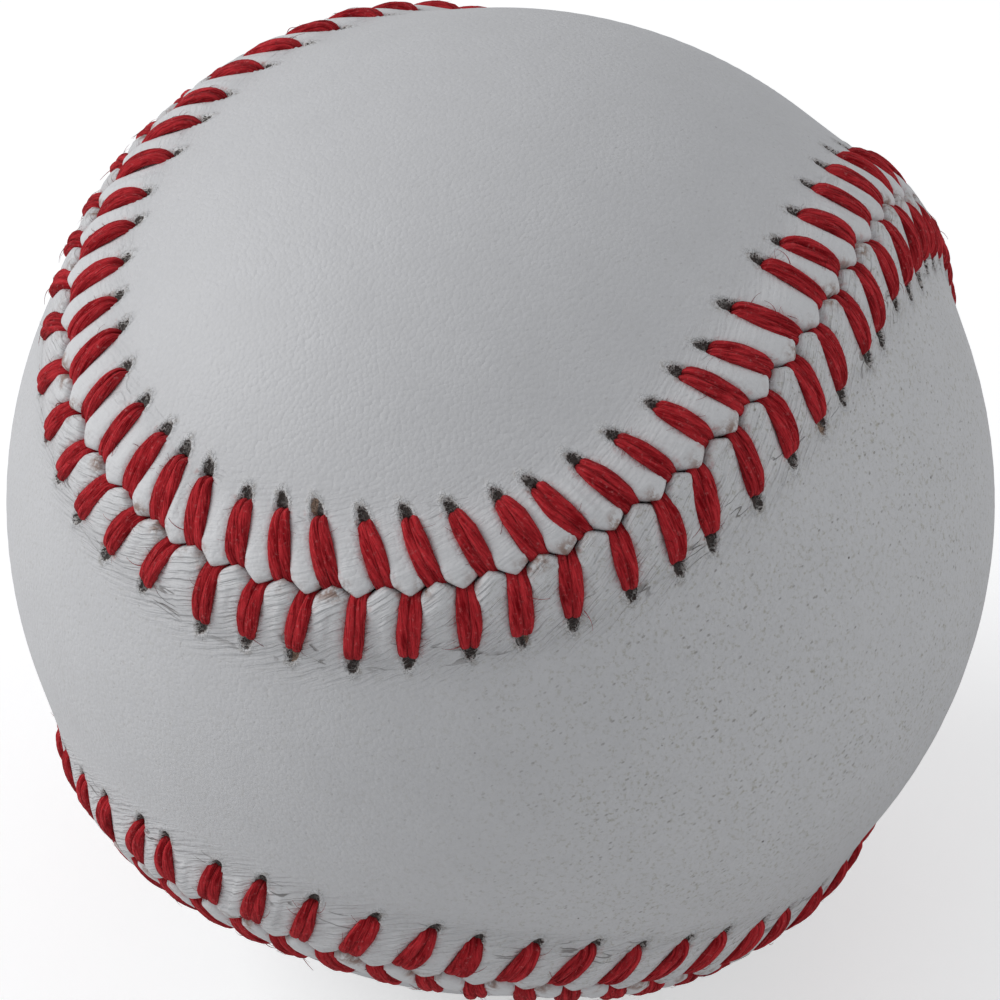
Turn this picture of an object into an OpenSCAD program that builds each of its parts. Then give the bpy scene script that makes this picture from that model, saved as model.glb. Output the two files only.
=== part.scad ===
// Hand-sewn baseball: rubber-cushioned cork centre, four yarn windings, cement coat,
// two interlocked figure-eight leather panels and the raised double row of red stitches.
// Origin at the centre of the ball. One panel has its broad ends at +Z and -Z and its
// waist at +Y, the other has its broad ends at +X and -X and its waist at -Y.

/* [Centre] */
// Diameter of the cork composition ball at the very centre
core_d = 20.6; // [18:0.2:24]
// Thickness of the two black rubber half shells
black_rubber_t = 4; // [2.5:0.1:6]
// Thickness of the flat gasket between the half shells
gasket_t = 1.2; // [0.6:0.1:2.4]
// Thickness of the red rubber moulded over the half shells
red_rubber_t = 2.4; // [1.2:0.1:4]

/* [Windings] */
// Radial build of the first winding, four-ply grey wool
first_wool_t = 14.15; // [10:0.05:18]
// Radial build of the second winding, three-ply white wool
second_wool_t = 1.7; // [0.8:0.05:3]
// Radial build of the third winding, three-ply grey wool
third_wool_t = 1.75; // [0.8:0.05:3]
// Radial build of the finishing winding, fine cotton yarn
finishing_yarn_t = 0.4; // [0.2:0.05:1]
// Thickness of the rubber cement that holds the cover down
cement_t = 0.1; // [0.05:0.05:0.3]
// Slack between one layer and the next
layer_gap = 0.05; // [0.02:0.01:0.1]

/* [Cover] */
// Thickness of the leather
leather_t = 1.3; // [1:0.05:2]
// Gap between the edges of the two panels
seam_gap = 0.3; // [0.1:0.05:0.6]
// Height to which the stitches draw up the leather along the seam
ridge_h = 1.5; // [1:0.05:2]
// How far the rounded leather between two stitches stands above that
puff_h = 0.2; // [0:0.05:0.4]
// Half of the width over which the leather leaves the round of the ball
ridge_w = 8.6; // [7.6:0.1:10]

/* [Stitches] */
// Stitches round the whole seam, a multiple of four
stitch_count = 108; // [96:4:120]
// Diameter of one strand of the waxed thread
strand_d = 0.9; // [0.6:0.05:1]
// Distance between the two strands of a stitch
strand_pitch = 0.8; // [0.5:0.05:0.9]
// Distance of a stitch's highest point from the seam
stitch_mid = 2.75; // [2.5:0.05:3.1]
// Height of the thread's middle above the ball there
stitch_rise = 1.3; // [1.2:0.05:1.6]
// Radius of the bow that each stitch makes
stitch_bow = 3.3; // [3:0.1:3.8]
// Clearance of the thread from the leather
thread_gap = 0.05; // [0.02:0.01:0.1]

/* [Hidden] */
$fn = 96;

// Outer radius of each layer, worked out from the centre outwards
core_r = core_d / 2;
black_r = core_r + layer_gap + black_rubber_t;
red_r = black_r + layer_gap + red_rubber_t;
first_wool_r = red_r + layer_gap + first_wool_t;
second_wool_r = first_wool_r + layer_gap + second_wool_t;
third_wool_r = second_wool_r + layer_gap + third_wool_t;
finishing_r = third_wool_r + layer_gap + finishing_yarn_t;
cement_r = finishing_r + layer_gap + cement_t;
cover_in_r = cement_r + layer_gap;
cover_r = cover_in_r + leather_t;

// The seam as latitude and longitude about the Y axis, in degrees
seam_lat_swing = 68.2;
seam_lat_flatten = -3.4;
seam_lon_swing = 18.8;
seam_lon_flatten = -1.4;

// The seam repeats after each quarter turn about that axis, mirrored and turned end for end
quarter = 90;
quarter_steps = 90;
small_step = 0.01;

function unit(v) = v / norm(v);
function seam_lat(t) = seam_lat_swing * cos(2 * t) + seam_lat_flatten * cos(6 * t);
function seam_lon(t) = t + seam_lon_swing * sin(4 * t) + seam_lon_flatten * sin(8 * t);
function seam_dir(t) =
    let (a = seam_lat(t), b = seam_lon(t))
    [cos(a) * cos(b), sin(a), -cos(a) * sin(b)];
function seam_run(t) = unit(seam_dir(t + small_step) - seam_dir(t - small_step));

// Direction of a point that lies across mm to one side of the seam and along mm further on
function beside_seam(t, across, along) =
    let (p = seam_dir(t), run = seam_run(t))
    unit(p + (cross(p, run) * across + run * along) / cover_r);

// Length of the seam up to each step of its first quarter, on a ball of radius 1
function seam_step(i) =
    norm(seam_dir((i + 1) * quarter / quarter_steps) - seam_dir(i * quarter / quarter_steps));
seam_lengths = [for (i = 0, s = 0; i <= quarter_steps; s = s + seam_step(i), i = i + 1)
    [s, i * quarter / quarter_steps]];
quarter_length = seam_lengths[quarter_steps][0];
quarter_stitches = stitch_count / 4;

// Place of stitch number k along one side of the seam, half a stitch further on along the other
row_shift = 0.5;
function stitch_t(side, k) =
    let (
        n = (k + (side > 0 ? 0 : row_shift)) / quarter_stitches,
        share = n - floor(n)
    )
    quarter * floor(n) + lookup(share * quarter_length, seam_lengths);

// A stitch leans back along the seam, and bows from the seam's edge to its awl hole
lean = 16;
inner_turn = 43;
outer_turn = 54;
stitch_w = strand_pitch + strand_d;
under_bow = stitch_bow - strand_d / 2;
function stitch_along(across) = -(across - stitch_mid) * tan(lean);

// Height of the thread's underside above the ball, less its clearance
function thread_floor(across) =
    let (
        d = (across - stitch_mid) / cos(lean),
        z = cover_r + stitch_rise - stitch_bow + sqrt(max(0, under_bow * under_bow - d * d))
    )
    sqrt(z * z + d * d) - cover_r - thread_gap;

// Drawn leather runs straight from the top of the ridge to where it touches the ball
tent_w = sqrt(2 * cover_r * ridge_h);
function tent(across) = pow(max(0, tent_w - across), 2) / (2 * cover_r);

// Awl hole at the outer end of a stitch
hole_back_turn = 4;
hole_at = stitch_mid + stitch_bow * sin(outer_turn - hole_back_turn) * cos(lean);
hole_r = sqrt(pow(stitch_w / 2, 2) + pow(strand_d / 2, 2)) + thread_gap;

// Rows of the ridge, from the seam's edge outwards: the rolled edge, the lip beside it, the
// brow over which the thread turns, the brim of the awl hole and the foot on the round of the ball
ledge = 0.05;
lip_w = 0.45;
brow_back = 0.75;
brim_share = 0.55;
edge_at = seam_gap / 2 + ledge;
lip_at = edge_at + lip_w;
brow_at = stitch_mid - brow_back;
brim_at = hole_at - hole_r * brim_share;

// Height of each row on the leather between two stitches, and in the groove under a stitch
bury = 0.3;
edge_drop = 1;
lip_puff_share = 0.6;
brim_puff_share = 0.3;
function groove_floor(across) = min(tent(across), thread_floor(across));
ridge_rows = [
    [edge_at, tent(0) - edge_drop, -bury],
    [lip_at, tent(lip_at) + puff_h * lip_puff_share, -bury],
    [brow_at, tent(brow_at) + puff_h, groove_floor(brow_at)],
    [brim_at, tent(brim_at) + puff_h * brim_puff_share, groove_floor(brim_at)],
    [ridge_w, -bury, -bury]
];
across_part = 0;
leather_part = 1;
groove_part = 2;

// Columns of the ridge round each stitch, and which of those heights each one takes
groove_half = stitch_w / 2 + thread_gap;
wall_w = 0.35;
ridge_columns = [
    [-groove_half - wall_w, leather_part],
    [-groove_half, groove_part],
    [groove_half, groove_part],
    [groove_half + wall_w, leather_part]
];
columns = len(ridge_columns) * stitch_count;

function ridge_point(side, k, column, row) =
    beside_seam(stitch_t(side, k), side * row[across_part],
        stitch_along(row[across_part]) + column[0]) * (cover_r + row[column[1]]);
function ridge_root(side, k, column) =
    beside_seam(stitch_t(side, k), side * edge_at, stitch_along(edge_at) + column[0])
        * (cover_r - 2 * bury);

// One closed band of drawn-up leather along one side of the seam
module ridge(side) {
    rows = len(ridge_rows) + 1;
    points = [for (k = [0:stitch_count - 1], column = ridge_columns) each concat(
        [ridge_root(side, k, column)],
        [for (row = ridge_rows) ridge_point(side, k, column, row)])];
    function at(i, j) = (i % columns) * rows + (j % rows);
    faces = [for (i = [0:columns - 1], j = [0:rows - 1], half = [0, 1])
        let (
            a = at(i, j), b = at(i + 1, j), c = at(i + 1, j + 1), d = at(i, j + 1),
            f = half == 0 ? [a, b, c] : [a, c, d]
        )
        side > 0 ? [f[2], f[1], f[0]] : f];
    polyhedron(points = points, faces = faces, convexity = 10);
}

// Cone from the centre of the ball through one edge of the seam, closed outside the ball
reach_share = 1.5;
spine_end = 110;
function spine_dir(side, m) =
    let (a = spine_end * m / stitch_count)
    side > 0 ? [0, cos(a), -sin(a)] : [-sin(a), -cos(a), 0];
function spine_step(side, i) =
    let (n = (i + (side > 0 ? 0 : columns * 3 / 4)) % columns)
    n <= columns / 4 ? n : n <= columns * 3 / 4 ? columns / 2 - n : n - columns;

module panel_wedge(side) {
    rim = [for (k = [0:stitch_count - 1], column = ridge_columns)
        beside_seam(stitch_t(side, k), side * seam_gap / 2, column[0]) * reach_share * cover_r];
    spine = [for (m = [-stitch_count:stitch_count]) spine_dir(side, m) * reach_share * cover_r];
    function rim_at(i) = 1 + i % columns;
    function spine_at(i) = 1 + columns + stitch_count + spine_step(side, i % columns);
    faces = [for (i = [0:columns - 1], part = [0, 1, 2])
        let (f = part == 0 ? [0, rim_at(i), rim_at(i + 1)] :
            part == 1 ? [rim_at(i), spine_at(i), rim_at(i + 1)] :
            [rim_at(i + 1), spine_at(i), spine_at(i + 1)])
        side > 0 ? f : [f[2], f[1], f[0]]];
    polyhedron(points = concat([[0, 0, 0]], rim, spine), faces = faces, convexity = 10);
}

// Holes that the awl leaves, one at the outer end of each stitch, square to the leather
module awl_holes(side) {
    for (k = [0:stitch_count - 1]) {
        out = beside_seam(stitch_t(side, k), side * hole_at, stitch_along(hole_at));
        flat = unit(cross(out, [0, 0, 1]));
        far = cross(out, flat);
        multmatrix([for (i = [0:2]) [flat[i], far[i], out[i], 0]])
            translate([0, 0, cover_in_r - leather_t])
                cylinder(r = hole_r, h = 3 * leather_t + ridge_h, $fn = 32);
    }
}

// One leather panel with its half of the ridge. Its bare sphere is turned so that the
// sphere's poles lie under the other panel
module panel(side) {
    difference() {
        union() {
            intersection() {
                rotate([0, side > 0 ? quarter : 0, 0])
                    shell_layer(cover_r, cover_in_r);
                panel_wedge(side);
            }
            ridge(side);
        }
        awl_holes(side);
    }
}

// Stitches of one row: each is a doubled thread that bows from the seam to its awl hole
module stitches(side) {
    for (k = [0:stitch_count - 1]) {
        t = stitch_t(side, k);
        next = stitch_mid + small_step;
        up = beside_seam(t, side * stitch_mid, 0);
        ahead = beside_seam(t, side * next, stitch_along(next));
        e = unit(ahead - up * (ahead * up));
        b = cross(e, up);
        bow_at = cover_r + stitch_rise - stitch_bow;
        multmatrix([for (i = [0:2]) [e[i], up[i], b[i], up[i] * bow_at]])
            rotate([0, 0, quarter - outer_turn])
                rotate_extrude(angle = outer_turn + inner_turn)
                    for (s = [-0.5, 0.5])
                        translate([stitch_bow, s * strand_pitch])
                            circle(d = strand_d, $fn = 36);
    }
}

// Hollow ball between two radii
module shell_layer(outer_r, inner_r) {
    difference() {
        sphere(r = outer_r);
        sphere(r = inner_r);
    }
}

// Half of the black shell, above or below the gasket
module black_half(up) {
    base = gasket_t / 2 + layer_gap;
    intersection() {
        shell_layer(black_r, core_r + layer_gap);
        translate([-black_r, -black_r, up > 0 ? base : -base - black_r])
            cube([2 * black_r, 2 * black_r, black_r]);
    }
}

module cork_core() {
    color("peru") sphere(r = core_r);
}

module black_rubber_shell_upper() {
    color([0.09, 0.09, 0.1]) black_half(1);
}

module black_rubber_shell_lower() {
    color([0.09, 0.09, 0.1]) black_half(-1);
}

// Share of the black shell's thickness that the gasket fills
gasket_share = 0.9;

module rubber_gasket() {
    color("firebrick")
        rotate_extrude()
            translate([core_r + layer_gap, -gasket_t / 2])
                square([black_rubber_t * gasket_share, gasket_t]);
}

module red_rubber_layer() {
    color("indianred") shell_layer(red_r, black_r + layer_gap);
}

module wool_winding_first() {
    color([0.5, 0.52, 0.55]) shell_layer(first_wool_r, red_r + layer_gap);
}

module wool_winding_second() {
    color([0.9, 0.89, 0.85]) shell_layer(second_wool_r, first_wool_r + layer_gap);
}

module wool_winding_third() {
    color([0.55, 0.57, 0.6]) shell_layer(third_wool_r, second_wool_r + layer_gap);
}

module finishing_yarn() {
    color([0.93, 0.92, 0.88]) shell_layer(finishing_r, third_wool_r + layer_gap);
}

module cement_coat() {
    color([0.86, 0.8, 0.62]) shell_layer(cement_r, finishing_r + layer_gap);
}

module cover_panel_top_bottom() {
    color([0.93, 0.93, 0.92]) panel(1);
}

module cover_panel_sides() {
    color([0.9, 0.9, 0.89]) panel(-1);
}

module stitches_top_bottom() {
    color([0.72, 0.07, 0.12]) stitches(1);
}

module stitches_sides() {
    color([0.72, 0.07, 0.12]) stitches(-1);
}

cork_core();
black_rubber_shell_upper();
black_rubber_shell_lower();
rubber_gasket();
red_rubber_layer();
wool_winding_first();
wool_winding_second();
wool_winding_third();
finishing_yarn();
cement_coat();
cover_panel_top_bottom();
cover_panel_sides();
stitches_top_bottom();
stitches_sides();
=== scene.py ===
"""Hand-sewn baseball, dressed in the order in which it is put together: cork, rubber, yarn,
cement, leather, thread. Lengths named *_mm or in mesh code are millimetres; objects are metres."""

import math

import bpy
import numpy as np
from mathutils import Matrix, Vector


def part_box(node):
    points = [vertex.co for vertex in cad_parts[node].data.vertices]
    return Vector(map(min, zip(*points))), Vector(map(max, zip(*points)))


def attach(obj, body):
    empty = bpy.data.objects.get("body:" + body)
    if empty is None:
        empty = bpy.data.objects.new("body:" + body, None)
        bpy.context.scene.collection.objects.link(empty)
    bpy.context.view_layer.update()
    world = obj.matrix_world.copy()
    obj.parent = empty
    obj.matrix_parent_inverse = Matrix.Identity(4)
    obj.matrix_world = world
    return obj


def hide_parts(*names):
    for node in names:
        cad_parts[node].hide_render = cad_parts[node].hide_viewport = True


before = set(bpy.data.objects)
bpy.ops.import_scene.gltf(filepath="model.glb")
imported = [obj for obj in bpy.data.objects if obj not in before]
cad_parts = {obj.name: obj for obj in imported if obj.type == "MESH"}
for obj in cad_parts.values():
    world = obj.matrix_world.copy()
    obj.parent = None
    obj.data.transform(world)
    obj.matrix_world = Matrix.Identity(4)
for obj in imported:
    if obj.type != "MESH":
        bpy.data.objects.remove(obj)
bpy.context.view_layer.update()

# Camera and studio. The ball is seen from above and to its front right, from well back. A broad
# soft lamp lights it from the upper left, and a weaker one from the right.
MM = 0.001
AZIMUTH, ELEVATION, ROLL = (math.radians(a) for a in (34.38, 37.43, -0.65))
CAMERA_AWAY, LAMP_AWAY, LAMP_WIDE = 0.65, 1.2, 0.9
back = Vector((math.sin(AZIMUTH) * math.cos(ELEVATION),
               -math.cos(AZIMUTH) * math.cos(ELEVATION), math.sin(ELEVATION)))
facing = (-back).to_track_quat("-Z", "Y").to_matrix() @ Matrix.Rotation(ROLL, 3, "Z")
lens = bpy.data.cameras.new("camera")
lens.lens = 316.4
lens.sensor_width = 36
lens.shift_x, lens.shift_y = -0.0006, 0.0016
camera = bpy.data.objects.new("camera", lens)
camera.matrix_world = Matrix.Translation(back * CAMERA_AWAY) @ facing.to_4x4()
scene = bpy.context.scene
scene.collection.objects.link(camera)
scene.camera = camera
scene.view_settings.view_transform = "Standard"


def soft_light(name, seen_from_camera, power):
    """A broad lamp placed by its direction in the camera's own frame: right, up, towards it."""
    data = bpy.data.lights.new(name, "AREA")
    data.shape, data.size, data.energy = "DISK", LAMP_WIDE, power
    lamp = bpy.data.objects.new(name, data)
    way = (facing @ Vector(seen_from_camera)).normalized()
    lamp.location = way * LAMP_AWAY
    lamp.rotation_mode = "QUATERNION"
    lamp.rotation_quaternion = way.to_track_quat("Z", "Y")
    scene.collection.objects.link(lamp)


soft_light("key_light", (-0.88, 0.52, 0.24), 8.0)
soft_light("fill_light", (0.92, 0.30, 0.22), 2.3)


# Cork centre: a ball of cork granules in a rubber binder, pressed and baked in a mould. It shows
# as brown granules of many tones with dark binder between them.
class Reading:
    """A socket in a tree of nodes. Python's operators on readings and numbers add Math nodes."""

    def __init__(self, nodes, socket):
        self.nodes, self.socket = nodes, socket

    def math(self, operation, first, second=0.0):
        return self.nodes.node("ShaderNodeMath", {"operation": operation}, {0: first, 1: second})

    def __add__(self, other):
        return self.math("ADD", self, other)

    def __sub__(self, other):
        return self.math("SUBTRACT", self, other)

    def __rsub__(self, other):
        return self.math("SUBTRACT", other, self)

    def __mul__(self, other):
        return self.math("MULTIPLY", self, other)

    def __truediv__(self, other):
        return self.math("DIVIDE", self, other)

    def __pow__(self, other):
        return self.math("POWER", self, other)

    def __abs__(self):
        return self.math("ABSOLUTE", self)

    def sine(self):
        return self.math("SINE", self)

    def cosine(self):
        return self.math("COSINE", self)

    __radd__, __rmul__ = __add__, __mul__

    def also(self, out):
        """Another output of the same node."""
        return Reading(self.nodes, self.socket.node.outputs[out])


class Nodes:
    """A tree of nodes, all added in one way."""

    def __init__(self, tree):
        self.tree = tree

    def node(self, kind, settings=(), sockets=(), out=0):
        """Adds a node: its settings first, then the values or links of its sockets."""
        made = self.tree.nodes.new(kind)
        for name, value in dict(settings).items():
            setattr(made, name, value)

        def found(among, key):
            return next(s for i, s in enumerate(among) if key in (i, s.identifier, s.name))

        for name, value in dict(sockets).items():
            for each in value if isinstance(value, list) else [value]:
                if isinstance(each, Reading):
                    self.tree.links.new(each.socket, found(made.inputs, name))
                else:
                    found(made.inputs, name).default_value = each
        return Reading(self, found(made.outputs, out)) if made.outputs else None

    def vector(self, operation, first, second=None, scale=None):
        """Vector maths: a length or a dot product is a number, anything else a vector."""
        given = {0: first, 1: second, "Scale": scale}
        return self.node("ShaderNodeVectorMath", {"operation": operation},
                         {name: value for name, value in given.items() if value is not None},
                         "Value" if operation in ("LENGTH", "DOT_PRODUCT") else "Vector")


class Finish(Nodes):
    """A procedural finish. Its place is in millimetres of the ball's own frame."""

    def __init__(self, name):
        self.material = bpy.data.materials.new(name)
        self.material.use_nodes = True
        super().__init__(self.material.node_tree)
        self.tree.nodes.clear()
        self.place = self.vector(
            "SCALE", self.node("ShaderNodeTexCoord", out="Object"), scale=1 / MM)

    def noise(self, at, per_mm, detail=2.0, roughness=0.5):
        return self.node("ShaderNodeTexNoise", {}, {
            "Vector": at, "Scale": per_mm, "Detail": detail, "Roughness": roughness})

    def cells(self, at, per_mm, feature="F1"):
        return self.node("ShaderNodeTexVoronoi", {"feature": feature},
                         {"Vector": at, "Scale": per_mm}, "Distance")

    def luck(self, cells):
        """A number from 0 to 1 that is the same all over one cell."""
        return self.node("ShaderNodeSeparateColor", {}, {"Color": cells.also("Color")}, "Red")

    def rise(self, value, low, high):
        """0 below low, 1 above high and smooth in between; low may be the greater one."""
        return self.node("ShaderNodeMapRange", {"interpolation_type": "SMOOTHSTEP"}, {
            "Value": value, "From Min": low, "From Max": high})

    def mix(self, share, under, over):
        return self.node("ShaderNodeMix", {"data_type": "RGBA"}, {
            "Factor_Float": share, "A_Color": under, "B_Color": over}, "Result_Color")

    def map(self, name):
        """The two coordinates of one of the piece's own UV maps."""
        flat = self.node("ShaderNodeUVMap", {"uv_map": name})
        return [self.node("ShaderNodeSeparateXYZ", {}, {"Vector": flat}, axis) for axis in "XY"]

    def own(self, name):
        """A number that the piece carries."""
        return self.node("ShaderNodeAttribute", {"attribute_name": name}, out="Fac")

    def at(self, x, y, z=0.0):
        return self.node("ShaderNodeCombineXYZ", {}, {"X": x, "Y": y, "Z": z})

    def surface(self, colour, roughness, height_mm, **constants):
        """Ends the finish: colour, roughness and relief, and constants such as Sheen_Weight."""
        normal = self.node("ShaderNodeBump", {}, {"Height": height_mm, "Distance": MM})
        self.node("ShaderNodeOutputMaterial", {}, {"Surface": self.node(
            "ShaderNodeBsdfPrincipled", {}, {
                "Base Color": colour, "Roughness": roughness, "Normal": normal,
                **{name.replace("_", " "): value for name, value in constants.items()}})})
        return self.material


def dress(node, material):
    """Gives a CAD node its finish."""
    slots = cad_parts[node].data.materials
    slots.clear()
    slots.append(material)


def cork_finish():
    finish = Finish("cork_composition")
    granule = finish.cells(finish.place, 0.9)
    gap = finish.cells(finish.place, 0.9, "DISTANCE_TO_EDGE")
    fleck = finish.noise(finish.place, 4.0, 4.0)
    body = finish.mix(finish.luck(granule), (0.23, 0.11, 0.045, 1), (0.48, 0.28, 0.13, 1))
    speckled = finish.mix(finish.rise(fleck, 0.56, 0.7), body, (0.10, 0.045, 0.02, 1))
    bound = finish.mix(finish.rise(gap, 0.09, 0.02), speckled, (0.06, 0.03, 0.02, 1))
    return finish.surface(bound, 0.7 + fleck * 0.25, gap * 0.5 + fleck * 0.15)


dress("cork_core", cork_finish())


# Rubber: two moulded black half shells meet on a red gasket over the cork, and a red layer is
# moulded over both. Each is dull, lightly talced and bears faint moulding marks.
def rubber_finish(name, deep, pale):
    finish = Finish(name)
    cloud = finish.noise(finish.place, 0.16, 3.0)
    talc = finish.rise(finish.noise(finish.place, 1.3, 4.0, 0.65), 0.5, 0.72)
    pit = finish.rise(finish.cells(finish.place, 1.1), 0.14, 0.05)
    colour = finish.mix(cloud, deep, pale)
    dusty = finish.mix(talc * 0.22, colour, (0.62, 0.58, 0.55, 1))
    return finish.surface(dusty, 0.52 + talc * 0.3, cloud * 0.05 + talc * 0.02 - pit * 0.12)


black_rubber = rubber_finish("black_rubber", (0.012, 0.012, 0.014, 1), (0.035, 0.034, 0.036, 1))
red_rubber = rubber_finish("red_rubber", (0.30, 0.035, 0.025, 1), (0.46, 0.07, 0.045, 1))
dress("black_rubber_shell_upper", black_rubber)
dress("black_rubber_shell_lower", black_rubber)
dress("rubber_gasket", red_rubber)
dress("red_rubber_layer", red_rubber)


# Windings: machine-wound woollen yarns, grey, white and grey, and a fine cotton finishing yarn.
# Every turn follows a great circle, and the winder keeps tilting, so that the turns cross.
LAYER_GAP = 0.05 * MM
BODY_BELOW = 0.8
BALL_CUTS, RINGS_A_TURN = 5, 36
WINDER_TILT = 0.21
GOLDEN = (math.sqrt(5) - 1) / 2


class Growth(Nodes):
    """A Geometry Nodes tree with named inputs, which ends in one real mesh of one material."""

    def __init__(self, name, inputs):
        super().__init__(bpy.data.node_groups.new(name, "GeometryNodeTree"))
        inputs = {"Geometry": "Geometry", **inputs, "Material": "Material"}
        for label, kind in inputs.items():
            self.tree.interface.new_socket(
                label, in_out="INPUT", socket_type=f"NodeSocket{kind}")
        self.tree.interface.new_socket(
            "Geometry", in_out="OUTPUT", socket_type="NodeSocketGeometry")
        given = self.node("NodeGroupInput")
        self.given = {label: given.also(label) for label in inputs}

    def ends(self, geometry):
        real = self.node("GeometryNodeRealizeInstances", {}, {"Geometry": geometry})
        self.node("NodeGroupOutput", {}, {"Geometry": self.node(
            "GeometryNodeSetMaterial", {}, {
                "Geometry": real, "Material": self.given["Material"]})})

    def grow(self, name, mesh, values):
        """A plain mesh of what the tree makes of a mesh; what that mesh carried goes."""
        made = bpy.data.objects.new(name, mesh)
        scene.collection.objects.link(made)
        modifier = made.modifiers.new(self.tree.name, "NODES")
        modifier.node_group = self.tree
        for socket in self.tree.interface.items_tree:
            if socket.in_out == "INPUT" and socket.name in values:
                modifier[socket.identifier] = values[socket.name]
        graph = bpy.context.evaluated_depsgraph_get()
        plain = bpy.data.meshes.new_from_object(
            made.evaluated_get(graph), preserve_all_data_layers=True, depsgraph=graph)
        plain.materials.clear()
        plain.materials.append(values["Material"])
        made.modifiers.clear()
        made.data = plain
        return made


def winding():
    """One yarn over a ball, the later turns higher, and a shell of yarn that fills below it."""
    wound = Growth("wound_yarn", {
        "Inner radius": "Float", "Outer radius": "Float", "Yarn width": "Float",
        "Build-up": "Float", "Turns": "Float", "Rings a turn": "Int", "Sides": "Int",
        "Tilt a turn": "Float"})
    given, node = wound.given, wound.node
    spaced = node("GeometryNodeResampleCurve", {}, {
        "Curve": node("GeometryNodeCurvePrimitiveLine"),
        "Count": given["Turns"] * given["Rings a turn"]})
    share = node("GeometryNodeSplineParameter", out="Factor")
    turn = share * given["Turns"]
    height = (given["Outer radius"] - given["Yarn width"] * 0.5
              - given["Build-up"] * (1.0 - share))
    angle = turn * math.tau
    level = node("ShaderNodeCombineXYZ", {}, {
        "X": height * angle.cosine(), "Y": height * angle.sine()})
    tilt = turn * given["Tilt a turn"]
    tipped = node("ShaderNodeVectorRotate", {"rotation_type": "X_AXIS"},
                  {"Vector": level, "Angle": tilt})
    swung = node("ShaderNodeVectorRotate", {"rotation_type": "Z_AXIS"},
                 {"Vector": tipped, "Angle": tilt * GOLDEN})
    path = node("GeometryNodeSetPosition", {}, {"Geometry": spaced, "Position": swung})
    laid = node("GeometryNodeStoreNamedAttribute", {"data_type": "FLOAT"}, {
        "Geometry": path, "Name": "along",
        "Value": node("GeometryNodeSplineParameter", out="Length") / MM})
    turns = node("GeometryNodeCurveToMesh", {}, {
        "Curve": laid, "Fill Caps": True, "Profile Curve": node(
            "GeometryNodeCurvePrimitiveCircle", {}, {
                "Resolution": given["Sides"], "Radius": given["Yarn width"] * 0.5})})
    below = node("GeometryNodeMeshIcoSphere", {}, {
        "Radius": given["Outer radius"] - given["Yarn width"] * BODY_BELOW,
        "Subdivisions": BALL_CUTS})
    hollow = node("GeometryNodeFlipFaces", {}, {"Mesh": node("GeometryNodeMeshIcoSphere", {}, {
        "Radius": given["Inner radius"], "Subdivisions": BALL_CUTS})})
    layer = node("GeometryNodeJoinGeometry", {}, {"Geometry": [turns, below, hollow]})
    wound.ends(node("GeometryNodeSetShadeSmooth", {}, {"Geometry": layer}))
    return wound


def yarn_finish(name, yarn_mm, deep, pale):
    """Staple yarn: plies that cross it at a slant, fuzz, and paler and darker stretches."""
    finish = Finish(name)
    fuzz = finish.noise(finish.place, 7.0 / yarn_mm, 4.0, 0.7)
    slant = finish.noise(finish.place, 0.8 / yarn_mm, 1.0) * 3.0
    ply = abs(((finish.own("along") / yarn_mm + slant) * math.pi).sine())
    slub = finish.noise(finish.place, 0.15, 2.0)
    shade = finish.rise(fuzz * 0.6 + ply * 0.35 + slub * 0.3, 0.35, 0.85)
    return finish.surface(finish.mix(shade, deep, pale), 0.85 + fuzz * 0.1,
                          (fuzz * 0.25 + ply * 0.12) * yarn_mm, Sheen_Weight=0.3)


wound_layer = winding()
layer_below = "red_rubber_layer"
for node, slot, yarn_mm, build_mm, turns, sides, deep, pale in (
        ("wool_winding_first", "grey_wool", 1.4, 1.4, 70, 5,
         (0.09, 0.10, 0.115, 1), (0.36, 0.38, 0.41, 1)),
        ("wool_winding_second", "white_wool", 1.0, 0.6, 120, 5,
         (0.42, 0.41, 0.37, 1), (0.80, 0.79, 0.74, 1)),
        ("wool_winding_third", "grey_wool", 1.0, 0.6, 130, 5,
         (0.10, 0.11, 0.125, 1), (0.40, 0.42, 0.45, 1)),
        ("finishing_yarn", "white_yarn", 0.34, 0.04, 300, 4,
         (0.50, 0.48, 0.42, 1), (0.84, 0.82, 0.76, 1))):
    layer = wound_layer.grow(f"{node}_turns", bpy.data.meshes.new(node), {
        "Inner radius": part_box(layer_below)[1].z + LAYER_GAP,
        "Outer radius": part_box(node)[1].z, "Yarn width": yarn_mm * MM,
        "Build-up": build_mm * MM, "Turns": float(turns), "Rings a turn": RINGS_A_TURN,
        "Sides": sides, "Tilt a turn": WINDER_TILT,
        "Material": yarn_finish(f"{node}_yarn", yarn_mm, deep, pale)})
    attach(layer, "root")
    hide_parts(node)
    layer_below = node


# Cement: a thin coat of rubber cement, brushed over the finished winding so that the leather
# grips it. It dries tacky and clear, and amber where it pools.
def cement_finish():
    finish = Finish("rubber_cement")
    brushed = finish.noise(finish.place, 0.35, 4.0, 0.6)
    beads = finish.rise(finish.noise(finish.place, 1.4, 3.0), 0.55, 0.75)
    colour = finish.mix(brushed, (0.74, 0.66, 0.45, 1), (0.46, 0.35, 0.17, 1))
    return finish.surface(colour, 0.22 + brushed * 0.3, brushed * 0.15 + beads * 0.08)


dress("cement_coat", cement_finish())


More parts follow.
